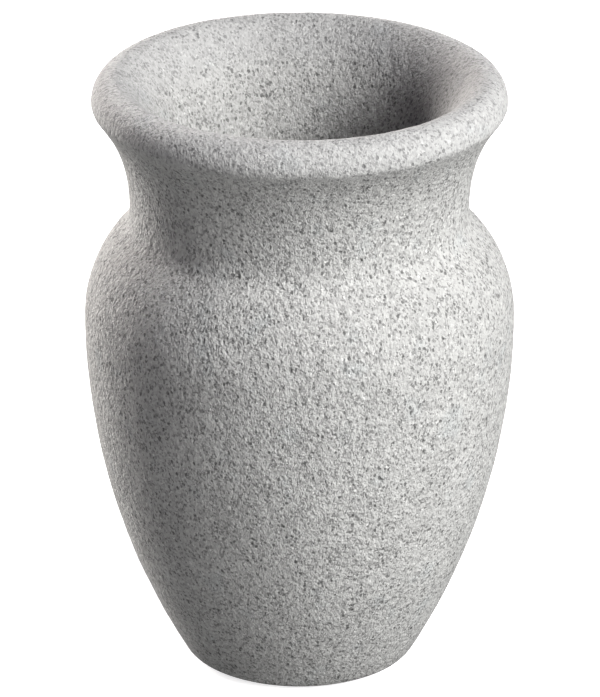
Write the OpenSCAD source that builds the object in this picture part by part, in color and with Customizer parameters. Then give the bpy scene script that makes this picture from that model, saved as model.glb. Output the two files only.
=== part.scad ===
// Turned granite flower vase with a lift-out steel water liner.
//
// The vase is one solid of revolution about Z, cut from a single block: a narrow foot, a full
// belly, a rounded shoulder, a short waisted neck and a thick rolled lip. Inside, a funnel runs
// down to a throat with a ledge, and a blind bore runs on below the ledge. The liner hangs by
// its flange on that ledge and lifts straight out by its wire bail, which folds down level into
// the liner's mouth, onto stops on the two lugs that carry it.
//
// Millimetres, +Z up. The origin is on the axis, in the plane that the three pads stand on.

/* [Stone outline] */
// Height of the crest of the lip above the ground
vase_h = 240; // [236:1:246]
// Radius of the foot at its widest, before the edge is rounded off
foot_r = 46.6; // [44:0.1:50]
// Radius of the rounded edge of the foot
foot_edge_r = 4; // [2:0.5:6]
// Outward lean of the wall just above the foot, in degrees from upright
foot_lean = 30; // [24:1:34]
// Largest radius of the belly
belly_r = 83.4; // [80:0.1:88]
// Height of the largest radius of the belly
belly_z = 142; // [136:1:148]
// Radius where the shoulder turns from convex to hollow
shoulder_r = 69.2; // [67:0.1:71]
// Height where the shoulder turns from convex to hollow
shoulder_z = 177.4; // [174:0.1:180]
// Lean of the shoulder at that point, in degrees from upright
shoulder_lean = 47; // [40:1:52]
// Radius of the hollow between the shoulder and the neck
neck_fillet_r = 11.5; // [8:0.5:14]
// Widest radius of the lip
lip_r = 79.7; // [77:0.1:83]
// Height of the widest part of the lip
lip_z = 230.2; // [228:0.1:232]
// Lean of the neck where it runs into the lip, in degrees from upright
lip_lean = 38; // [32:1:44]
// Radius of the turn under the lip
lip_under_r = 4.2; // [3:0.1:6]
// Radius of the crest of the lip
crest_r = 70.7; // [68:0.1:73]

/* [Stone hollow] */
// Radius of the throat at the bottom of the funnel
throat_r = 46; // [45.6:0.1:48]
// Height at which the funnel has become the upright throat
throat_z = 186; // [184:1:192]
// Height of the ledge that the liner hangs on
ledge_z = 177; // [175:1:178]
// Radius of the bore below the ledge
bore_r = 39.5; // [39:0.1:40.5]
// Height of the floor of the bore
bore_floor_z = 28; // [22:1:30]

/* [Liner] */
// Outer radius of the liner's straight collar
liner_r = 37; // [36.8:0.1:37.2]
// Outer radius of the liner at its bottom
liner_bottom_r = 32; // [30:0.5:34]
// Height of the underside of the liner's bottom
liner_bottom_z = 33; // [31:0.5:38]
// Height where the collar turns into the tapered cup
collar_z = 150; // [145:1:155]
// Thickness of the liner's sheet
sheet_t = 1; // [0.8:0.1:1.2]
// Radius of the wired edge of the flange
bead_r = 1.3; // [1.1:0.1:1.3]

/* [Bail] */
// Radius of the bail's wire
wire_r = 1.2; // [1:0.1:1.2]
// Radius of the bail's arch, to the middle of the wire
arch_r = 31.5; // [30:0.1:31.8]
// Height of the pivot above the top of the flange
pivot_rise = 4; // [3.4:0.1:4.5]
// Radius of the bends where the wire turns out to its pivots
wire_bend_r = 2.4; // [2:0.1:2.6]

/* [Foot pads] */
// Radius of each pad
pad_r = 7; // [6:0.5:7]
// Distance from the axis to the middle of each pad
pad_ring_r = 31; // [28:1:34]
// How far each pad stands out below the stone
pad_proud = 1.2; // [0.8:0.1:1.5]
// Depth of the pocket that each pad is glued into
pocket_depth = 1.8; // [1.5:0.1:2.5]

/* [Hidden] */
$fn = 96;

granite = [0.70, 0.70, 0.69];
steel = [0.76, 0.77, 0.78];
dark_rubber = [0.12, 0.12, 0.12];

// Stone
foot_z = pad_proud;
bore_corner_r = 4;
ledge_edge = 0.8;
// How far each end's direction is held along a curve, as a share of that curve's height
low_hold = 0.30;
belly_hold_below = 0.40;
belly_hold_above = 0.50;
shoulder_hold = 0.20;
neck_hold = 0.48;
lip_hold = 0.27;
crest_hold = 0.27;
funnel_hold = 0.57;
neck_lean = 2;

// Liner
ledge_gap = 0.1;
flange_z = ledge_z + ledge_gap;
flange_top = flange_z + sheet_t;
flange_gap = 0.5;
bead_ring_r = throat_r - flange_gap - bead_r;
bend_r = 2;
liner_corner_r = 5;
dish_r = 22;
dish_rise = 2;

// Lugs, rivets and bail
lug_t = 1.4;
lug_r = liner_r - sheet_t;
lug_half_w = 6;
lug_corner_r = 3;
lug_foot_z = 161;
pivot_z = flange_top + pivot_rise;
// Cheeks of a lug: its edges, turned in below the pivot for the bail to rest on
cheek_t = 1.2;
cheek_h = 7;
cheek_in = 4;
stop_gap = 0.3;
eye_clearance = 0.05;
rivet_r = 1.5;
rivet_head_r = 2.6;
rivet_heights = [165.5, 172.5];
rivet_dome = 1.2;
rivet_flat = 0.8;
// How far the rim of the domed head lies inside the lug's curved face
rivet_seat = 0.1;
bend_x = arch_r + wire_bend_r;
bail_head_r = 2;
bail_head_t = 1;
bail_head_gap = 0.6;
bail_end_x = lug_r + bail_head_gap + bail_head_t;
// Length of a cutter that drills through the lug and the collar
drill_l = 6;

// Foot pads
pad_t = pad_proud + pocket_depth;
pocket_gap = 0.1;
pad_chamfer = 0.5;

// How far a cutter runs on past the face that it starts from
over = 1;

// Points of an arc about c, from angle a0 to angle a1
function arc(c, r, a0, a1, n) =
    [for (i = [0:n]) let (a = a0 + (a1 - a0) * i / n) c + r * [cos(a), sin(a)]];

// Points of a cubic curve that leaves p0 towards p1 and arrives at p3 from p2
function curve(p0, p1, p2, p3, n) =
    [for (i = [0:n]) let (t = i / n, u = 1 - t)
        u * u * u * p0 + 3 * u * u * t * p1 + 3 * u * t * t * p2 + t * t * t * p3];

// The points of a list from index i on, so that joined curves don't repeat a point
function from(list, i) = [for (k = [i:len(list) - 1]) list[k]];

// Radius and height along the outside of the stone, from the flat of the foot to the crest
function stone_outside() =
    let (
        // Rounded edge of the foot
        edge_c = [foot_r - foot_edge_r, foot_z + foot_edge_r],
        edge = arc(edge_c, foot_edge_r, -90, -foot_lean, 8),
        // Wall from the foot up to the belly
        p0 = edge[8],
        low_h = belly_z - p0[1],
        belly = [belly_r, belly_z],
        low = curve(p0, p0 + low_hold * low_h * [sin(foot_lean), cos(foot_lean)],
                    belly - [0, belly_hold_below * low_h], belly, 26),
        // Shoulder above the belly
        top_h = shoulder_z - belly_z,
        turn = [shoulder_r, shoulder_z],
        down = [sin(shoulder_lean), -cos(shoulder_lean)],
        shoulder = curve(belly, belly + [0, belly_hold_above * top_h],
                         turn + shoulder_hold * top_h * down, turn, 18),
        // Hollow at the root of the neck
        hollow_c = turn + neck_fillet_r * [cos(shoulder_lean), sin(shoulder_lean)],
        hollow = arc(hollow_c, neck_fillet_r, 180 + shoulder_lean, 180 + neck_lean, 10),
        // Neck, flaring into the turn under the lip
        p1 = hollow[10],
        p2 = [lip_r - lip_under_r * (1 - cos(lip_lean)), lip_z - lip_under_r * sin(lip_lean)],
        neck_h = p2[1] - p1[1],
        neck = curve(p1, p1 + neck_hold * neck_h * [-sin(neck_lean), cos(neck_lean)],
                     p2 - lip_hold * neck_h * [sin(lip_lean), cos(lip_lean)], p2, 18),
        under = arc([lip_r - lip_under_r, lip_z], lip_under_r, -lip_lean, 0, 6),
        // Rolled lip, a quarter of an ellipse
        lip = [for (i = [0:12]) let (a = 90 * i / 12)
            [crest_r + (lip_r - crest_r) * cos(a), lip_z + (vase_h - lip_z) * sin(a)]]
    )
    concat(edge, from(low, 1), from(shoulder, 1), from(hollow, 1), from(neck, 1),
           from(under, 1), from(lip, 1));

// Radius and height down the inside of the stone, from the crest to the middle of the bore's floor
function stone_inside() =
    let (
        crest = [crest_r, vase_h],
        throat = [throat_r, throat_z],
        funnel = curve(crest, crest - [crest_hold * (crest_r - throat_r), 0],
                       throat + [0, funnel_hold * (vase_h - throat_z)], throat, 24),
        corner_c = [bore_r - bore_corner_r, bore_floor_z + bore_corner_r],
        corner = arc(corner_c, bore_corner_r, 0, -90, 6)
    )
    concat(from(funnel, 1),
           [[throat_r, ledge_z], [bore_r + ledge_edge, ledge_z], [bore_r, ledge_z - ledge_edge]],
           corner, [[0, bore_floor_z]]);

// Angle of pad number i, from 0 to 2, about the axis
function pad_angle(i) = 90 + 120 * i;

// The stone: one turned block with a funnel, a throat, a ledge and a blind bore
module vase_body() {
    color(granite)
    difference() {
        rotate_extrude()
            polygon(concat([[0, foot_z]], stone_outside(), stone_inside()));
        for (i = [0:2])
            rotate([0, 0, pad_angle(i)])
                translate([pad_ring_r, 0, foot_z - over])
                    cylinder(r = pad_r + pocket_gap, h = pocket_depth + over);
    }
}

// Radius and height along one face of the liner's sheet, inset by t from its outer face
function liner_face(t) =
    let (
        r0 = liner_bottom_r - t,
        z0 = liner_bottom_z + t,
        corner_r = liner_corner_r - t,
        taper = atan((liner_r - liner_bottom_r) / (collar_z - liner_bottom_z)),
        corner = arc([r0 - corner_r, z0 + corner_r], corner_r, -90, -taper, 6),
        bend_c = [liner_r + bend_r, flange_z - bend_r],
        bend = arc(bend_c, bend_r + t, 180, 90, 6)
    )
    concat([[0, z0 + dish_rise], [dish_r, z0 + dish_rise], [dish_r + dish_rise, z0]],
           corner, [[liner_r - t, collar_z]], bend, [[bead_ring_r, flange_z + t]]);

// The liner: a spun sheet cup with a collar, a flange and a wired edge
module liner_cup() {
    outer = liner_face(0);
    inner = liner_face(sheet_t);
    color(steel)
    difference() {
        union() {
            rotate_extrude()
                polygon(concat(outer, [for (i = [len(inner) - 1:-1:0]) inner[i]]));
            rotate_extrude()
                translate([bead_ring_r, flange_z + bead_r])
                    circle(r = bead_r, $fn = 32);
        }
        for (side = [-1, 1], z = rivet_heights)
            translate([side * lug_r, 0, z])
                rotate([0, 90, 0])
                    cylinder(r = rivet_r, h = drill_l, center = true, $fn = 32);
    }
}

// Outline of a lug seen from the axis: a strap with a round eye end and rounded lower corners
module lug_outline() {
    strap_h = pivot_z - lug_foot_z;
    circle(r = lug_half_w, $fn = 48);
    translate([-lug_half_w, lug_corner_r - strap_h])
        square([2 * lug_half_w, strap_h - lug_corner_r]);
    translate([lug_corner_r - lug_half_w, -strap_h])
        square([2 * (lug_half_w - lug_corner_r), strap_h]);
    for (side = [-1, 1])
        translate([side * (lug_half_w - lug_corner_r), lug_corner_r - strap_h])
            circle(r = lug_corner_r, $fn = 32);
}

// One lug, bent to the inside of the collar; flip is 0 for the right one and 1 for the left one
module bail_lug(flip) {
    cheek_top = pivot_z - wire_r - stop_gap;
    color(steel)
    mirror([flip, 0, 0])
        difference() {
            union() {
                intersection() {
                    difference() {
                        cylinder(r = lug_r, h = vase_h);
                        translate([0, 0, -over])
                            cylinder(r = lug_r - lug_t, h = vase_h + 2 * over);
                    }
                    translate([lug_r, 0, pivot_z])
                        rotate([90, 0, 90])
                            linear_extrude(height = lug_half_w, center = true)
                                lug_outline();
                }
                for (y = [-lug_half_w, lug_half_w - cheek_t])
                    translate([lug_r - lug_t - cheek_in, y, cheek_top - cheek_h])
                        cube([cheek_in + lug_t / 3, cheek_t, cheek_h]);
            }
            for (z = rivet_heights)
                translate([lug_r, 0, z])
                    rotate([0, 90, 0])
                        cylinder(r = rivet_r, h = drill_l, center = true, $fn = 32);
            translate([lug_r, 0, pivot_z])
                rotate([0, 90, 0])
                    cylinder(r = wire_r + eye_clearance, h = drill_l, center = true, $fn = 32);
        }
}

// One rivet along X from the lug's inner face to the collar's outer face, pointing outwards
module rivet() {
    inner_x = lug_r - lug_t - rivet_seat;
    dome_r = (rivet_head_r * rivet_head_r + rivet_dome * rivet_dome) / (2 * rivet_dome);
    rotate([0, 90, 0]) {
        translate([0, 0, inner_x])
            cylinder(r = rivet_r, h = liner_r - inner_x, $fn = 32);
        translate([0, 0, liner_r])
            cylinder(r = rivet_head_r, h = rivet_flat, $fn = 32);
        intersection() {
            translate([0, 0, inner_x - rivet_dome + dome_r])
                sphere(r = dome_r, $fn = 48);
            translate([0, 0, inner_x - rivet_dome])
                cylinder(r = rivet_head_r, h = rivet_dome, $fn = 32);
        }
    }
}

// The rivets that hold the lugs to the collar
module lug_rivets() {
    color(steel)
    for (turn = [0, 180], z = rivet_heights)
        rotate([0, 0, turn])
            translate([0, 0, z])
                rivet();
}

// The bail: an arch of wire, level above the liner's mouth, with its ends turned out through the
// lugs and headed over
module liner_bail() {
    color(steel)
    translate([0, 0, pivot_z]) {
        translate([0, -wire_bend_r, 0])
            rotate([0, 0, 180])
                rotate_extrude(angle = 180)
                    translate([arch_r, 0])
                        circle(r = wire_r, $fn = 32);
        for (flip = [0, 1])
            mirror([flip, 0, 0]) {
                translate([bend_x, -wire_bend_r, 0])
                    rotate([0, 0, 90])
                        rotate_extrude(angle = 90)
                            translate([wire_bend_r, 0])
                                circle(r = wire_r, $fn = 32);
                translate([bend_x, 0, 0])
                    rotate([0, 90, 0])
                        cylinder(r = wire_r, h = bail_end_x - bend_x, $fn = 32);
                translate([bail_end_x - bail_head_t, 0, 0])
                    rotate([0, 90, 0])
                        cylinder(r = bail_head_r, h = bail_head_t, $fn = 32);
            }
    }
}

// One soft pad, glued into its pocket; i runs from 0 to 2
module base_pad(i) {
    color(dark_rubber)
    rotate([0, 0, pad_angle(i)])
        translate([pad_ring_r, 0, 0])
            rotate_extrude()
                polygon([[0, 0], [pad_r - pad_chamfer, 0], [pad_r, pad_chamfer],
                         [pad_r, pad_t], [0, pad_t]]);
}

vase_body();
liner_cup();
bail_lug(1);  // bail_lug_left
bail_lug(0);  // bail_lug_right
lug_rivets();
liner_bail();
base_pad(0);  // base_pad_1
base_pad(1);  // base_pad_2
base_pad(2);  // base_pad_3
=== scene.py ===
import math

import bmesh
import bpy
import numpy as np
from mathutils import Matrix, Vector, noise
from mathutils.geometry import delaunay_2d_cdt


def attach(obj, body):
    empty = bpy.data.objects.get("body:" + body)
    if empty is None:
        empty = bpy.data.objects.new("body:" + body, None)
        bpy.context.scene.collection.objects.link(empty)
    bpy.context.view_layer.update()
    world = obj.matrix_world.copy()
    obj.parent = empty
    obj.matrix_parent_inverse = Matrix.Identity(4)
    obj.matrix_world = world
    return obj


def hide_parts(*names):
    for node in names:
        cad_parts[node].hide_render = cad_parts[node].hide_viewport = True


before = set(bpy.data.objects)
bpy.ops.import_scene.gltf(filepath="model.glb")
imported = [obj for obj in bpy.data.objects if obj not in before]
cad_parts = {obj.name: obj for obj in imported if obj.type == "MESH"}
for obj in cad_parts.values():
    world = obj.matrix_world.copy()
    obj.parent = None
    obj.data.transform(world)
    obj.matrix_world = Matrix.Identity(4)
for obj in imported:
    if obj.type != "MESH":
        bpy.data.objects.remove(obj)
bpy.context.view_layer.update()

MM = 0.001
SEED = Vector((17.3, 5.1, 9.7))

# ---------------------------------------------------------------- sizes, in millimetres as in the CAD source

vase_h = 240.0
foot_z = 1.2
foot_r = 46.6
foot_edge_r = 4.0
foot_lean = 30.0
belly_r = 83.4
belly_z = 142.0
shoulder_r = 69.2
shoulder_z = 177.4
shoulder_lean = 47.0
neck_fillet_r = 11.5
neck_lean = 2.0
lip_r = 79.7
lip_z = 230.2
lip_lean = 38.0
lip_under_r = 4.2
crest_r = 70.7
low_hold = 0.30
belly_hold_below = 0.40
belly_hold_above = 0.50
shoulder_hold = 0.20
neck_hold = 0.48
lip_hold = 0.27
crest_hold = 0.27
funnel_hold = 0.57
throat_r = 46.0
throat_z = 186.0
ledge_z = 177.0
bore_r = 39.5
bore_floor_z = 28.0
bore_corner_r = 4.0
ledge_edge = 0.8

liner_r = 37.0
liner_bottom_r = 32.0
liner_bottom_z = 33.0
collar_z = 150.0
sheet_t = 1.0
bead_r = 1.3
flange_z = 177.1
bead_ring_r = 44.2
bend_r = 2.0
liner_corner_r = 5.0
dish_r = 22.0
dish_rise = 2.0

wire_r = 1.2
arch_r = 31.5
wire_bend_r = 2.4
pivot_z = 182.1
lug_outer_r = 36.0
bail_head_gap = 0.6
bail_head_r = 2.0
bail_head_t = 1.0

pad_r = 7.0
pad_ring_r = 31.0
pad_t = 3.0
pad_chamfer = 0.5
pocket_r = 7.1
pocket_depth = 1.8


# ---------------------------------------------------------------- outlines

def arc(cr, cz, r, a0, a1, n):
    t = np.radians(np.linspace(a0, a1, n + 1))
    return np.c_[cr + r * np.cos(t), cz + r * np.sin(t)]


def curve(p0, p1, p2, p3, n=160):
    p0, p1, p2, p3 = (np.array(p, float) for p in (p0, p1, p2, p3))
    t = np.linspace(0, 1, n + 1)[:, None]
    u = 1 - t
    return u ** 3 * p0 + 3 * u * u * t * p1 + 3 * u * t * t * p2 + t ** 3 * p3


def lean_dir(a):
    return np.array([math.sin(math.radians(a)), math.cos(math.radians(a))])


def even(points, step):
    """The same line with points every step or so along it, both ends kept."""
    seg = np.linalg.norm(np.diff(points, axis=0), axis=1)
    s = np.r_[0, np.cumsum(seg)]
    n = max(1, int(round(s[-1] / step)))
    at = np.linspace(0, s[-1], n + 1)
    return np.c_[np.interp(at, s, points[:, 0]), np.interp(at, s, points[:, 1])]


def joined(*parts):
    out = [parts[0]]
    for p in parts[1:]:
        out.append(p[1:])
    return np.vstack(out)


def stone_skin():
    """The stone's outline where it shows, from the flat of the foot over the lip and down to the ledge."""
    edge = arc(foot_r - foot_edge_r, foot_z + foot_edge_r, foot_edge_r, -90, -foot_lean, 24)
    p0 = edge[-1]
    low_h = belly_z - p0[1]
    belly = np.array([belly_r, belly_z])
    low = curve(p0, p0 + low_hold * low_h * lean_dir(foot_lean),
                belly - [0, belly_hold_below * low_h], belly)
    top_h = shoulder_z - belly_z
    turn = np.array([shoulder_r, shoulder_z])
    sl = math.radians(shoulder_lean)
    shoulder = curve(belly, belly + [0, belly_hold_above * top_h],
                     turn + shoulder_hold * top_h * np.array([math.sin(sl), -math.cos(sl)]), turn)
    hc = turn + neck_fillet_r * np.array([math.cos(sl), math.sin(sl)])
    hollow = arc(hc[0], hc[1], neck_fillet_r, 180 + shoulder_lean, 180 + neck_lean, 40)
    p1 = hollow[-1]
    ll = math.radians(lip_lean)
    p2 = np.array([lip_r - lip_under_r * (1 - math.cos(ll)), lip_z - lip_under_r * math.sin(ll)])
    neck_h = p2[1] - p1[1]
    neck = curve(p1, p1 + neck_hold * neck_h * lean_dir(-neck_lean),
                 p2 - lip_hold * neck_h * lean_dir(lip_lean), p2)
    under = arc(lip_r - lip_under_r, lip_z, lip_under_r, -lip_lean, 0, 24)
    t = np.radians(np.linspace(0, 90, 60))
    lip = np.c_[crest_r + (lip_r - crest_r) * np.cos(t), lip_z + (vase_h - lip_z) * np.sin(t)]
    crest = np.array([crest_r, vase_h])
    throat = np.array([throat_r, throat_z])
    funnel = curve(crest, crest - [crest_hold * (crest_r - throat_r), 0],
                   throat + [0, funnel_hold * (vase_h - throat_z)], throat)
    wall = np.array([[throat_r, throat_z], [throat_r, ledge_z]])
    return joined(edge, low, shoulder, hollow, neck, under, lip, funnel, wall)


def bore_line():
    """The stone from the ledge down the bore to the middle of its floor."""
    corner = arc(bore_r - bore_corner_r, bore_floor_z + bore_corner_r, bore_corner_r, 0, -90, 6)
    ledge = np.array([[throat_r, ledge_z], [(throat_r + bore_r + ledge_edge) / 2, ledge_z],
                      [bore_r + ledge_edge, ledge_z], [bore_r, ledge_z - ledge_edge]])
    down = even(np.array([[bore_r, ledge_z - ledge_edge], corner[0]]), 13)
    floor = np.array([corner[-1], [24, bore_floor_z], [12, bore_floor_z]])
    return joined(ledge, down, corner, floor)


# ---------------------------------------------------------------- mesh helpers

def make_object(name, verts, faces):
    mesh = bpy.data.meshes.new(name)
    mesh.from_pydata([tuple(v) for v in verts], [], [tuple(f) for f in faces])
    mesh.validate()
    mesh.update()
    bm = bmesh.new()
    bm.from_mesh(mesh)
    bmesh.ops.recalc_face_normals(bm, faces=bm.faces)
    bm.to_mesh(mesh)
    bm.free()
    mesh.polygons.foreach_set("use_smooth", [True] * len(mesh.polygons))
    obj = bpy.data.objects.new(name, mesh)
    bpy.context.scene.collection.objects.link(obj)
    return obj


def ring_points(line, n):
    t = 2 * np.pi * np.arange(n) / n
    return np.stack([np.outer(line[:, 0], np.cos(t)), np.outer(line[:, 0], np.sin(t)),
                     np.repeat(line[:, 1][:, None], n, 1)], axis=2)


def ring_faces(rows, n, first=0):
    faces = []
    for i in range(rows - 1):
        a = first + i * n
        for j in range(n):
            k = (j + 1) % n
            faces.append((a + j, a + k, a + n + k, a + n + j))
    return faces


def sharp_by_angle(obj, degrees):
    obj.data.set_sharp_from_angle(angle=math.radians(degrees))


# ---------------------------------------------------------------- the stone

STONE_N = 360
SKIN_STEP = 1.36
# Size across and height of the surface's waves
WAVES = ((15.0, 0.10), (6.5, 0.09), (3.1, 0.08))
# How far apart its dents lie, their radius as a share of that, and how deep they are
DENT_SPACING = 9.0
DENT_SHARE = 0.20
DENT_DEPTH = 0.22
# Rows over which the relief fades in at the foot and out above the ledge, and plain rows at the ledge
FADE_IN = 6.0
FADE_OUT = 8.0
PLAIN_ROWS = 4


def weathering(p, keep):
    """Height of the worked surface above the true form, in millimetres, at a point in millimetres."""
    height = 0.0
    for i, (size, swing) in enumerate(WAVES):
        height += swing * noise.noise(p / size + (i + 1.0) * SEED)
    near, _ = noise.voronoi(p / DENT_SPACING + SEED)
    dent = max(0.0, 1.0 - near[0] / DENT_SHARE)
    return keep * (height - DENT_DEPTH * dent * dent)


def turned_stone(angles):
    """Points of the turned outline, ring by ring, with its relief, and the radius of the first ring."""
    skin = even(stone_skin(), SKIN_STEP)
    line = np.vstack([skin, bore_line()[1:]])
    tangent = np.gradient(skin, axis=0)
    tangent /= np.linalg.norm(tangent, axis=1)[:, None]
    normal = np.c_[tangent[:, 1], -tangent[:, 0]]
    pts = ring_points(line, STONE_N)
    cos, sin = np.cos(angles), np.sin(angles)
    last_rough = len(skin) - PLAIN_ROWS
    for i in range(len(skin)):
        keep = min(1.0, max(0.0, (i - 1) / FADE_IN), max(0.0, (last_rough - i) / FADE_OUT))
        if keep <= 0:
            continue
        row = pts[i]
        for j in range(STONE_N):
            h = weathering(Vector(row[j]), keep)
            row[j, 0] += h * normal[i, 0] * cos[j]
            row[j, 1] += h * normal[i, 0] * sin[j]
            row[j, 2] += h * normal[i, 1]
    return pts, skin[0, 0]


def pad_centres():
    """The middles of the three pads: one at the back, then front left and front right."""
    turns = [math.radians(90 + 120 * i) for i in range(3)]
    return [(pad_ring_r * math.cos(a), pad_ring_r * math.sin(a)) for a in turns]


def add_underside(verts, faces, flat_r, angles):
    """The flat of the foot out to the first ring, with the pockets of the three pads."""
    pocket_n = 40
    mesh_step = 6.0
    first_ring = 5.0
    edge_gap = 2.0
    pocket_gap = 1.5
    flat = [Vector((flat_r * math.cos(a), flat_r * math.sin(a))) for a in angles]
    edges = [(j, (j + 1) % STONE_N) for j in range(STONE_N)]
    centres = [Vector(c) for c in pad_centres()]
    turns = [2 * math.pi * k / pocket_n for k in range(pocket_n)]
    for c in centres:
        at = len(flat)
        flat += [c + pocket_r * Vector((math.cos(a), math.sin(a))) for a in turns]
        edges += [(at + k, at + (k + 1) % pocket_n) for k in range(pocket_n)]
    # Points between, so that the flat has no long thin triangles
    for r in np.arange(first_ring, flat_r - edge_gap, mesh_step):
        m = max(6, int(2 * math.pi * r / mesh_step))
        for k in range(m):
            a = 2 * math.pi * k / m + r
            p = Vector((r * math.cos(a), r * math.sin(a)))
            if all((p - c).length > pocket_r + pocket_gap for c in centres):
                flat.append(p)
    made, _, tris, origin, _, _ = delaunay_2d_cdt(flat, edges, [], 1, 1e-6)
    index = {}
    for v, own in enumerate(origin):
        if own and own[0] < STONE_N:
            index[v] = own[0]
        else:
            index[v] = len(verts)
            verts.append(np.array([made[v].x, made[v].y, foot_z]))
    # The triangles inside a pocket's rim are left out, and its wall and floor are added instead
    for f in tris:
        mid = sum((made[v] for v in f), Vector((0, 0))) / 3
        if any((mid - c).length < pocket_r * 0.99 for c in centres):
            continue
        faces.append(tuple(index[v] for v in f))
    rim = {}
    for v, own in enumerate(origin):
        for o in own:
            if STONE_N <= o < STONE_N + len(centres) * pocket_n:
                rim[o - STONE_N] = index[v]
    for i in range(len(centres)):
        low = [rim[i * pocket_n + k] for k in range(pocket_n)]
        high = []
        for v in low:
            high.append(len(verts))
            verts.append(verts[v] + np.array([0, 0, pocket_depth]))
        for k in range(pocket_n):
            m = (k + 1) % pocket_n
            faces.append((low[k], low[m], high[m], high[k]))
        faces.append(tuple(reversed(high)))


def build_stone():
    angles = 2 * np.pi * np.arange(STONE_N) / STONE_N
    pts, flat_r = turned_stone(angles)
    verts = list(pts.reshape(-1, 3))
    faces = ring_faces(len(pts), STONE_N)
    # Floor of the bore
    last = (len(pts) - 1) * STONE_N
    verts.append(np.array([0, 0, bore_floor_z]))
    faces += [(last + j, last + (j + 1) % STONE_N, len(verts) - 1) for j in range(STONE_N)]
    add_underside(verts, faces, flat_r, angles)
    stone = make_object("stone", [v * MM for v in verts], faces)
    sharp_by_angle(stone, 50)
    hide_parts("vase_body")
    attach(stone, "vase")
    return stone


# ---------------------------------------------------------------- the liner and its fittings

LINER_N = 160
WALL_STEP = 4.0
COLLAR_STEP = 3.0
# The rolled rim turns outwards and up from the bottom of its bead, and ends at this angle
BEAD_END = 167
# Outline of a bail head, in shares of its thickness and of its radius
HEAD_PROFILE = ((0.00, 0.54), (0.00, 0.88), (0.12, 1.00), (0.50, 0.97), (0.85, 0.80), (1.00, 0.45))
HEAD_N = 24
WIRE_SIDES = 20
# How much thinner the wire's cut ends are, and over what length, in shares of its radius
WIRE_END_CUT = 0.15


def sheet_face(t):
    """The outline of the liner's sheet, t in from its outer face, from the middle to the flange."""
    r0 = liner_bottom_r - t
    z0 = liner_bottom_z + t
    cr = liner_corner_r - t
    taper = math.degrees(math.atan((liner_r - liner_bottom_r) / (collar_z - liner_bottom_z)))
    dish = np.array([[dish_r, z0 + dish_rise], [dish_r + 0.6, z0 + 0.8 * dish_rise],
                     [dish_r + 1.4, z0 + 0.2 * dish_rise], [dish_r + dish_rise, z0]])
    inner = np.array([[4.0, z0 + dish_rise], [13.0, z0 + dish_rise], [dish_r - 0.6, z0 + dish_rise]])
    corner = arc(r0 - cr, z0 + cr, cr, -90, -taper, 10)
    wall = even(np.array([corner[-1], [liner_r - t, collar_z]]), WALL_STEP)
    collar = even(np.array([[liner_r - t, collar_z], [liner_r - t, flange_z - bend_r]]), COLLAR_STEP)
    bend = arc(liner_r + bend_r, flange_z - bend_r, bend_r + t, 180, 90, 10)
    out = np.array([[(liner_r + bend_r + bead_ring_r) / 2, flange_z + t]])
    return np.vstack([inner, dish, corner, wall[1:], collar[1:], bend[1:], out])


def build_liner():
    outer = sheet_face(0.0)
    inner = sheet_face(sheet_t)
    bead = arc(bead_ring_r, flange_z + bead_r, bead_r, -90, BEAD_END, 14)
    line = np.vstack([outer, bead, inner[::-1]])
    verts = list(ring_points(line, LINER_N).reshape(-1, 3))
    faces = ring_faces(len(line), LINER_N)
    # The middle of the bottom, outside and inside
    last = (len(line) - 1) * LINER_N
    for start, z in ((0, liner_bottom_z + dish_rise), (last, liner_bottom_z + sheet_t + dish_rise)):
        verts.append(np.array([0, 0, z]))
        faces += [(start + j, start + (j + 1) % LINER_N, len(verts) - 1) for j in range(LINER_N)]
    liner = make_object("liner", [v * MM for v in verts], faces)
    sharp_by_angle(liner, 60)
    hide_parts("liner_cup")
    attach(liner, "liner")
    return liner


def wire_along(path, radius):
    """A round bar along a level path of points in millimetres, with its end edges slightly broken."""
    path = [Vector(p) for p in path]
    up = Vector((0, 0, 1))
    cut = radius * WIRE_END_CUT
    rings = []
    for i, p in enumerate(path):
        d = (path[min(len(path) - 1, i + 1)] - path[max(0, i - 1)]).normalized()
        side = d.cross(up).normalized()
        if i == 0:
            rings.append((p, side, d, radius - cut))
            rings.append((p + d * cut, side, d, radius))
        elif i == len(path) - 1:
            rings.append((p - d * cut, side, d, radius))
            rings.append((p, side, d, radius - cut))
        else:
            rings.append((p, side, d, radius))
    verts = []
    for p, side, d, r in rings:
        over = side.cross(d).normalized()
        for k in range(WIRE_SIDES):
            a = 2 * math.pi * k / WIRE_SIDES
            verts.append(p + r * (math.cos(a) * side + math.sin(a) * over))
    faces = ring_faces(len(rings), WIRE_SIDES)
    faces.append(tuple(range(WIRE_SIDES)))
    faces.append(tuple(range(len(verts) - WIRE_SIDES, len(verts))))
    return verts, faces


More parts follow.
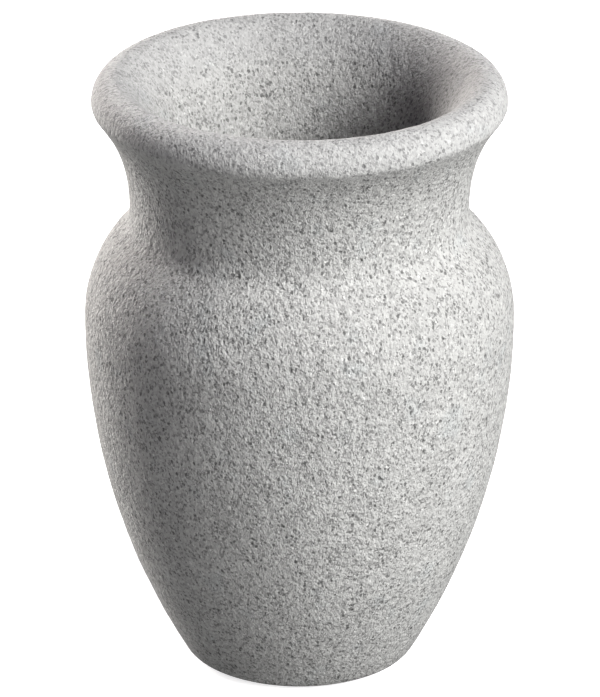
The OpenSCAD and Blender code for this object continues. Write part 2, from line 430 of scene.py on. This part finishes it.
def build_bail():
    """One wire: a headed end, out through an eye, round the arch and out through the other eye."""
    head_x = lug_outer_r + bail_head_gap
    bend_x = arch_r + wire_bend_r
    # The wire ends a little way inside its heads
    sunk = 0.2
    right = [(x, 0.0) for x in np.linspace(head_x + sunk, bend_x, 4)[:-1]]
    for a in np.linspace(90, 180, 9):
        t = math.radians(a)
        right.append((bend_x + wire_bend_r * math.cos(t), -wire_bend_r + wire_bend_r * math.sin(t)))
    arch = []
    for a in np.linspace(0, -180, 73)[1:-1]:
        t = math.radians(a)
        arch.append((arch_r * math.cos(t), -wire_bend_r + arch_r * math.sin(t)))
    left = [(-x, y) for x, y in reversed(right)]
    path = [(x, y, pivot_z) for x, y in right + arch + left]
    verts, faces = wire_along(path, wire_r)
    # Headed ends, like a small upset rivet
    for way in (1, -1):
        first = len(verts)
        for along, out in HEAD_PROFILE:
            x = head_x + along * bail_head_t
            r = out * bail_head_r
            for k in range(HEAD_N):
                a = 2 * math.pi * k / HEAD_N
                verts.append(Vector((way * x, r * math.cos(a), pivot_z + r * math.sin(a))))
        faces += ring_faces(len(HEAD_PROFILE), HEAD_N, first)
        faces.append(tuple(range(len(verts) - HEAD_N, len(verts))))
        faces.append(tuple(range(first, first + HEAD_N)))
    bail = make_object("bail", [v * MM for v in verts], faces)
    sharp_by_angle(bail, 55)
    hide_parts("liner_bail")
    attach(bail, "bail")
    return bail


def build_pads():
    n = 48
    face_ring_r = 2.2
    top_edge = 0.2
    edge = arc(pad_r - pad_chamfer, pad_chamfer, pad_chamfer, -90, 0, 5)
    top = arc(pad_r - top_edge, pad_t - top_edge, top_edge, 0, 90, 3)
    line = np.vstack([[[face_ring_r, 0.0]], edge, top, [[face_ring_r, pad_t]]])
    faces = ring_faces(len(line), n)
    faces.append(tuple(range(n)))
    last = (len(line) - 1) * n
    faces.append(tuple(range(last, last + n)))
    pads = []
    for i, (x, y) in enumerate(pad_centres(), start=1):
        pts = ring_points(line, n) + np.array([x, y, 0.0])
        pad = make_object(f"pad_{i}", pts.reshape(-1, 3) * MM, faces)
        sharp_by_angle(pad, 50)
        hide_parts(f"base_pad_{i}")
        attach(pad, "vase")
        pads.append(pad)
    return pads


# ---------------------------------------------------------------- materials

class Nodes:
    """The node tree of a material or a world, with a short way to add and join nodes."""

    def __init__(self, owner):
        self.owner = owner
        owner.use_nodes = True
        self.tree = owner.node_tree
        self.tree.nodes.clear()

    def add(self, kind, inputs=None, **settings):
        node = self.tree.nodes.new(kind)
        for key, value in settings.items():
            setattr(node, key, value)
        for key, value in (inputs or {}).items():
            socket = node.inputs[key]
            if isinstance(value, bpy.types.NodeSocket):
                self.tree.links.new(value, socket)
            else:
                socket.default_value = value
        return node

    def math(self, operation, a, b=0.0, c=0.0):
        node = self.add("ShaderNodeMath", operation=operation)
        for socket, value in zip(node.inputs, (a, b, c)):
            if isinstance(value, bpy.types.NodeSocket):
                self.tree.links.new(value, socket)
            else:
                socket.default_value = value
        return node.outputs[0]

    def ramp(self, value, stops):
        node = self.add("ShaderNodeValToRGB", {"Fac": value})
        elements = node.color_ramp.elements
        while len(elements) < len(stops):
            elements.new(0.5)
        for element, (at, colour) in zip(elements, stops):
            element.position = at
            element.color = (*colour, 1.0) if len(colour) == 3 else colour
        return node.outputs["Color"]

    def mix(self, factor, a, b, blend="MIX"):
        node = self.add("ShaderNodeMix", data_type="RGBA", blend_type=blend)
        for socket, value in ((node.inputs[0], factor), (node.inputs[6], a), (node.inputs[7], b)):
            if isinstance(value, bpy.types.NodeSocket):
                self.tree.links.new(value, socket)
            elif isinstance(value, (int, float)):
                socket.default_value = value
            else:
                socket.default_value = (*value, 1.0) if len(value) == 3 else value
        return node.outputs[2]

    def noise(self, where, scale, detail=2.0, roughness=0.5):
        """Noise with scale lumps to a unit of where, from 0 to 1 about a mean of 0.5."""
        return self.add("ShaderNodeTexNoise", {"Vector": where, "Scale": scale, "Detail": detail,
                                               "Roughness": roughness})

    def cells(self, where, scale, feature="F1"):
        """Cells, scale of them to a unit of where, with a random colour and the distance to the middle."""
        return self.add("ShaderNodeTexVoronoi", {"Vector": where, "Scale": scale}, feature=feature)

    def pick(self, cells, channel):
        """One of the three random numbers of each cell, from 0 to 1."""
        return self.add("ShaderNodeSeparateColor", {"Color": cells.outputs["Color"]}).outputs[channel]

    def millimetres(self):
        """The place on the object in its own coordinates, in millimetres."""
        at = self.add("ShaderNodeTexCoord").outputs["Object"]
        return self.scaled(at, (1.0 / MM, 1.0 / MM, 1.0 / MM))

    def scaled(self, vector, factors):
        return self.add("ShaderNodeVectorMath", {0: vector, 1: factors}, operation="MULTIPLY").outputs[0]

    def radius_and_height(self, mm):
        """Distance from the vase's axis, and height above its base plane."""
        x, y, z = self.add("ShaderNodeSeparateXYZ", {"Vector": mm}).outputs
        square = self.math("ADD", self.math("MULTIPLY", x, x), self.math("MULTIPLY", y, y))
        return self.math("SQRT", square), z

    def surface(self, shader):
        self.add("ShaderNodeOutputMaterial", {"Surface": shader})
        return self.owner


def grey(v):
    return v, v, v


# Scales of the granite, in cells or lumps to a millimetre
WANDER_SCALE = 1.1
GRAIN_SCALE = 1.15
FLAKE_SCALE = 1.5
SPOT_SCALE = 0.60
PIT_SCALE = 0.19
TOOLING_SCALE = 1.35
PICKED_SCALE = 0.95
# Greys of its minerals
GRAIN_GREYS = ((0.00, 0.24), (0.20, 0.325), (0.45, 0.385), (0.80, 0.415), (1.00, 0.46))
FLAKE_GREY = 0.075
CRYSTAL_GREY = 0.55
SPOT_GREY = 0.06
LIP_GREY = 0.34
# Depth of the bump for a height of 1, in millimetres
RELIEF_DEPTH = 0.53
# What lies nearer the axis than FUNNEL_SLOPE * z + FUNNEL_START, in millimetres, is the funnel
FUNNEL_SLOPE = 0.389
FUNNEL_START = -22.4
FUNNEL_BLEND = 1.5
# Heights over which the outside gives way to the worn lip, and below which the foot is darkened with painted
# shade
LIP_FROM = 222.0
LIP_TO = 231.0
FOOT_SHADE_TOP = 60.0


def granite_material():
    n = Nodes(bpy.data.materials.new("granite"))
    mm = n.millimetres()
    # The tooling runs up and down the vase, so what it leaves is a little longer than it is wide
    upright = n.scaled(mm, (1.0, 1.0, 0.76))
    # The grains aren't cells with straight sides: their borders wander by a fraction of a millimetre
    wander = n.noise(upright, WANDER_SCALE, 2.0, 0.6).outputs["Color"]
    wander = n.add("ShaderNodeVectorMath", {0: wander, 1: (0.5, 0.5, 0.5)}, operation="SUBTRACT").outputs[0]
    where = n.add("ShaderNodeVectorMath", {0: upright, 1: wander}, operation="ADD").outputs[0]

    # Light feldspar and quartz in grains of under a millimetre
    grains = n.cells(where, GRAIN_SCALE)
    mosaic = n.ramp(n.pick(grains, "Red"), [(at, grey(v)) for at, v in GRAIN_GREYS])
    # Small dark mica flakes, denser in some places than in others
    flakes = n.cells(where, FLAKE_SCALE)
    crowd = n.noise(mm, 0.13, 3.0, 0.55).outputs["Fac"]
    share = n.math("MULTIPLY_ADD", crowd, 0.46, -0.125)
    flaky = n.math("LESS_THAN", n.pick(flakes, "Green"), share)
    colour = n.mix(n.math("MULTIPLY", flaky, 0.60), mosaic, grey(FLAKE_GREY))
    # A few white crystals
    white = n.math("GREATER_THAN", n.pick(flakes, "Blue"), 0.990)
    colour = n.mix(white, colour, grey(CRYSTAL_GREY))
    # Larger, darker spots where a flake has broken out, gathered in loose groups
    spots = n.cells(where, SPOT_SCALE)
    group = n.noise(mm, 0.16, 2.0, 0.5).outputs["Fac"]
    spot = n.math("LESS_THAN", n.pick(spots, "Red"), n.math("MULTIPLY_ADD", group, 0.95, -0.32))
    spot_depth = n.ramp(spots.outputs["Distance"], [(0.28, grey(1.0)), (0.42, grey(0.0))])
    spot = n.math("MULTIPLY", spot, spot_depth)
    colour = n.mix(n.math("MULTIPLY", spot, 0.70), colour, grey(SPOT_GREY))
    # Broad, faint clouds and a few cool patches
    cloud = n.noise(mm, 0.035, 4.0, 0.8).outputs["Fac"]
    cloud = n.ramp(cloud, [(0.30, grey(0.88)), (0.70, grey(1.02))])
    colour = n.mix(1.0, colour, cloud, "MULTIPLY")
    cool = n.noise(mm, 0.075, 2.0, 0.5).outputs["Fac"]
    cool = n.ramp(cool, [(0.60, grey(1.0)), (0.74, (0.95, 0.97, 0.98))])
    colour = n.mix(1.0, colour, cool, "MULTIPLY")

    # Relief: the tooled surface, with grains broken out of it and a few pits
    tooled = n.noise(upright, TOOLING_SCALE, 2.0, 0.6).outputs["Fac"]
    picked = n.cells(where, PICKED_SCALE, feature="SMOOTH_F1").outputs["Distance"]
    picked = n.ramp(picked, [(0.05, grey(0.0)), (0.42, grey(1.0))])
    pits = n.cells(where, PIT_SCALE)
    ground = n.ramp(pits.outputs["Distance"], [(0.06, grey(0.0)), (0.19, grey(1.0))])
    # Half of the cells have no pit in them
    ground = n.math("MAXIMUM", ground, n.math("GREATER_THAN", n.pick(pits, "Blue"), 0.5))
    broad = n.noise(mm, 0.42, 2.0, 0.5).outputs["Fac"]
    height = n.math("MULTIPLY_ADD", picked, 0.45, tooled)
    height = n.math("MULTIPLY_ADD", broad, 1.8, height)
    height = n.math("MULTIPLY_ADD", spot, -0.5, height)
    height = n.math("MULTIPLY_ADD", ground, 0.9, height)
    # The funnel and the lip are dressed finer than the outside
    radius, z = n.radius_and_height(mm)
    inside = n.math("SUBTRACT", n.math("MULTIPLY_ADD", z, FUNNEL_SLOPE, FUNNEL_START), radius)
    inside = n.add("ShaderNodeMapRange", {
        "Value": inside, "From Min": -FUNNEL_BLEND, "From Max": FUNNEL_BLEND}).outputs[0]
    lip = n.add("ShaderNodeMapRange", {"Value": z, "From Min": LIP_FROM, "From Max": LIP_TO}).outputs[0]
    relief = n.math("MULTIPLY_ADD", n.math("MAXIMUM", inside, lip), -0.30, 1.0)
    bump = n.add("ShaderNodeBump", {
        "Strength": relief, "Distance": RELIEF_DEPTH * MM, "Height": height}).outputs["Normal"]
    # Painted shade darkens the pits
    colour = n.mix(1.0, colour, n.math("MULTIPLY_ADD", ground, 0.42, 0.58), "MULTIPLY")
    colour = n.mix(1.0, colour, (1.0, 0.998, 0.965), "MULTIPLY")
    # Hands have worn the lip, which evens out the colours of its grains
    colour = n.mix(n.math("MULTIPLY", lip, 0.28), colour, grey(LIP_GREY))
    # Painted shade darkens the foot, most at the bottom, and, less, the whole funnel
    painted_foot_shade = n.math("MULTIPLY", z, 1.0 / FOOT_SHADE_TOP)
    painted_foot_shade = n.ramp(painted_foot_shade, [(0.0, grey(0.74)), (0.30, grey(0.88)), (1.0, grey(1.0))])
    colour = n.mix(1.0, colour, painted_foot_shade, "MULTIPLY")
    # Painted shade inside the funnel: all of it is 13% darker
    colour = n.mix(1.0, colour, n.math("MULTIPLY_ADD", inside, -0.13, 1.0), "MULTIPLY")

    bsdf = n.add("ShaderNodeBsdfPrincipled", {
        "Base Color": colour, "Roughness": 0.85, "Specular IOR Level": 0.3, "Normal": bump})
    return n.surface(bsdf.outputs[0])


def steel_material(name, base, roughness, mark_scale, along):
    """Satin steel with fine working marks: rings about Z for spun sheet, or streaks along an axis."""
    n = Nodes(bpy.data.materials.new(name))
    mm = n.millimetres()
    if along == "rings":
        radius, z = n.radius_and_height(mm)
        where = n.add("ShaderNodeCombineXYZ", {"X": radius, "Y": 0.0, "Z": z}).outputs[0]
    else:
        where = n.scaled(mm, along)
    marks = n.noise(where, mark_scale, 3.0, 0.65).outputs["Fac"]
    smudge = n.noise(mm, 0.06, 3.0, 0.6).outputs["Fac"]
    tone = n.ramp(marks, [(0.25, grey(base * 0.90)), (0.75, grey(base * 1.06))])
    # Smudges spread the shine by 0.08 to each side of the roughness asked for, and marks add up to 0.10
    rough = n.math("MULTIPLY_ADD", smudge, 0.16, roughness - 0.08)
    rough = n.math("MULTIPLY_ADD", marks, 0.10, rough)
    bump = n.add("ShaderNodeBump", {
        "Strength": 0.12, "Distance": 0.2 * MM, "Height": marks}).outputs["Normal"]
    bsdf = n.add("ShaderNodeBsdfPrincipled", {
        "Base Color": tone, "Metallic": 1.0, "Roughness": rough, "Normal": bump})
    return n.surface(bsdf.outputs[0])


def rubber_material():
    n = Nodes(bpy.data.materials.new("pad_rubber"))
    grain = n.noise(n.millimetres(), 1.6, 3.0, 0.6).outputs["Fac"]
    tone = n.ramp(grain, [(0.3, grey(0.028)), (0.7, grey(0.055))])
    bump = n.add("ShaderNodeBump", {
        "Strength": 0.25, "Distance": 0.3 * MM, "Height": grain}).outputs["Normal"]
    bsdf = n.add("ShaderNodeBsdfPrincipled", {"Base Color": tone, "Roughness": 0.82, "Normal": bump})
    return n.surface(bsdf.outputs[0])


def dress(obj, material):
    obj.data.materials.clear()
    obj.data.materials.append(material)


# ---------------------------------------------------------------- the object

stone = build_stone()
dress(stone, granite_material())

liner = build_liner()
dress(liner, steel_material("liner_steel", 0.56, 0.42, 1.6, "rings"))

bail = build_bail()
dress(bail, steel_material("wire_steel", 0.54, 0.38, 1.2, (0.25, 0.25, 2.0)))

lug_steel = steel_material("lug_steel", 0.54, 0.42, 1.5, (2.0, 2.0, 0.12))
rivet_steel = steel_material("rivet_steel", 0.60, 0.32, 0.9, (1.0, 1.0, 1.0))
# The lugs and rivets are the CAD's own solids, with their edges softened by this many millimetres
for name, material, edge in (("bail_lug_left", lug_steel, 0.18), ("bail_lug_right", lug_steel, 0.18),
                             ("lug_rivets", rivet_steel, 0.12)):
    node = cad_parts[name]
    dress(node, material)
    soft = node.modifiers.new("soft_edges", "BEVEL")
    soft.width = edge * MM
    soft.segments = 2
    soft.limit_method = "ANGLE"
    soft.angle_limit = math.radians(40)
    node.data.polygons.foreach_set("use_smooth", [True] * len(node.data.polygons))
    sharp_by_angle(node, 35)

pad_rubber = rubber_material()
for pad in build_pads():
    dress(pad, pad_rubber)

# ---------------------------------------------------------------- floor, lights and camera, in metres

FLOOR_GLOW = 0.68
FLOOR_N = 96
FLOOR_RINGS = (0.15, 0.4, 1.0, 2.5, 6.0, 16.0)
LIGHT_SPREAD = 24.0
WORLD_BELOW = 0.54
WORLD_HORIZON = 1.05
WORLD_ABOVE = (0.036, 0.021, 0.049)


def floor_material():
    """White acrylic with some light behind it, so that shadows on it stay faint."""
    n = Nodes(bpy.data.materials.new("studio_floor"))
    at = n.add("ShaderNodeTexCoord").outputs["Object"]
    tone = n.ramp(n.noise(at, 3.0, 2.0, 0.5).outputs["Fac"], [(0.3, grey(0.88)), (0.7, grey(0.90))])
    bsdf = n.add("ShaderNodeBsdfPrincipled", {
        "Base Color": tone, "Roughness": 0.9, "Specular IOR Level": 0.1,
        "Emission Color": (1.0, 1.0, 1.0, 1.0), "Emission Strength": FLOOR_GLOW})
    return n.surface(bsdf.outputs[0])


floor_pts = ring_points(np.array([[r, 0.0] for r in FLOOR_RINGS]), FLOOR_N).reshape(-1, 3)
floor_faces = [tuple(range(FLOOR_N))] + ring_faces(len(FLOOR_RINGS), FLOOR_N)
floor = make_object("floor", floor_pts, floor_faces)
dress(floor, floor_material())
# The pale half of the world stands for the light that the floor throws back on to the object, and for what
# the steel reflects of it
floor.visible_diffuse = False
floor.visible_glossy = False


def studio_light(name, azimuth, elevation, strength, colour=(1.0, 1.0, 1.0)):
    """A broad soft light from far off, in degrees: azimuth 0 is the camera's side and 90 its right."""
    data = bpy.data.lights.new(name, "SUN")
    data.energy = strength
    data.angle = math.radians(LIGHT_SPREAD)
    data.color = colour
    obj = bpy.data.objects.new(name, data)
    a, e = math.radians(azimuth), math.radians(elevation)
    back = Vector((math.sin(a) * math.cos(e), -math.cos(a) * math.cos(e), math.sin(e)))
    obj.location = back * 2.0
    obj.rotation_mode = "QUATERNION"
    obj.rotation_quaternion = (-back).to_track_quat("-Z", "Y")
    obj.visible_camera = False
    bpy.context.scene.collection.objects.link(obj)


# Three lights side by side make one large softbox at the right. A low one at the back lights the left edge
studio_light("key", 65, 42, 3.80)
studio_light("key_side", 50, 30, 2.20)
studio_light("key_low", 45, 18, 1.30)
studio_light("rim", -140, 10, 7.20, (1.045, 1.0, 0.97))


def studio_world():
    """White about the horizon, so that the studio has no visible end, pale below it and dim above."""
    n = Nodes(bpy.data.worlds.new("studio"))
    where = n.add("ShaderNodeTexCoord").outputs["Generated"]
    height = n.add("ShaderNodeSeparateXYZ", {"Vector": where}).outputs["Z"]
    # 0 is straight down, 0.5 the horizon and 1 straight up
    height = n.math("MULTIPLY_ADD", height, 0.5, 0.5)
    light = n.ramp(height, [(0.470, grey(WORLD_BELOW)), (0.488, grey(WORLD_HORIZON)),
                            (0.512, grey(WORLD_HORIZON)), (0.540, WORLD_ABOVE)])
    background = n.add("ShaderNodeBackground", {"Color": light})
    n.add("ShaderNodeOutputWorld", {"Surface": background.outputs[0]})
    bpy.context.scene.world = n.owner


studio_world()

# The photo's camera: its angle above the horizontal, its distance from what it looks at, the height of that
# point above the base plane, and how far it lies to the right of the axis
pitch = math.radians(23.10)
reach = 2.0
aim_z = 0.1266
side_step = 0.00017
camera_data = bpy.data.cameras.new("camera")
camera_data.lens = 264.97
camera_data.sensor_width = 36.0
camera_data.clip_start = 0.05
camera_data.clip_end = 60.0
camera = bpy.data.objects.new("camera", camera_data)
camera.location = (side_step, -reach * math.cos(pitch), aim_z + reach * math.sin(pitch))
camera.rotation_euler = (math.radians(90) - pitch, 0.0, 0.0)
bpy.context.scene.collection.objects.link(camera)
bpy.context.scene.camera = camera

bpy.context.scene.view_settings.view_transform = "Standard"
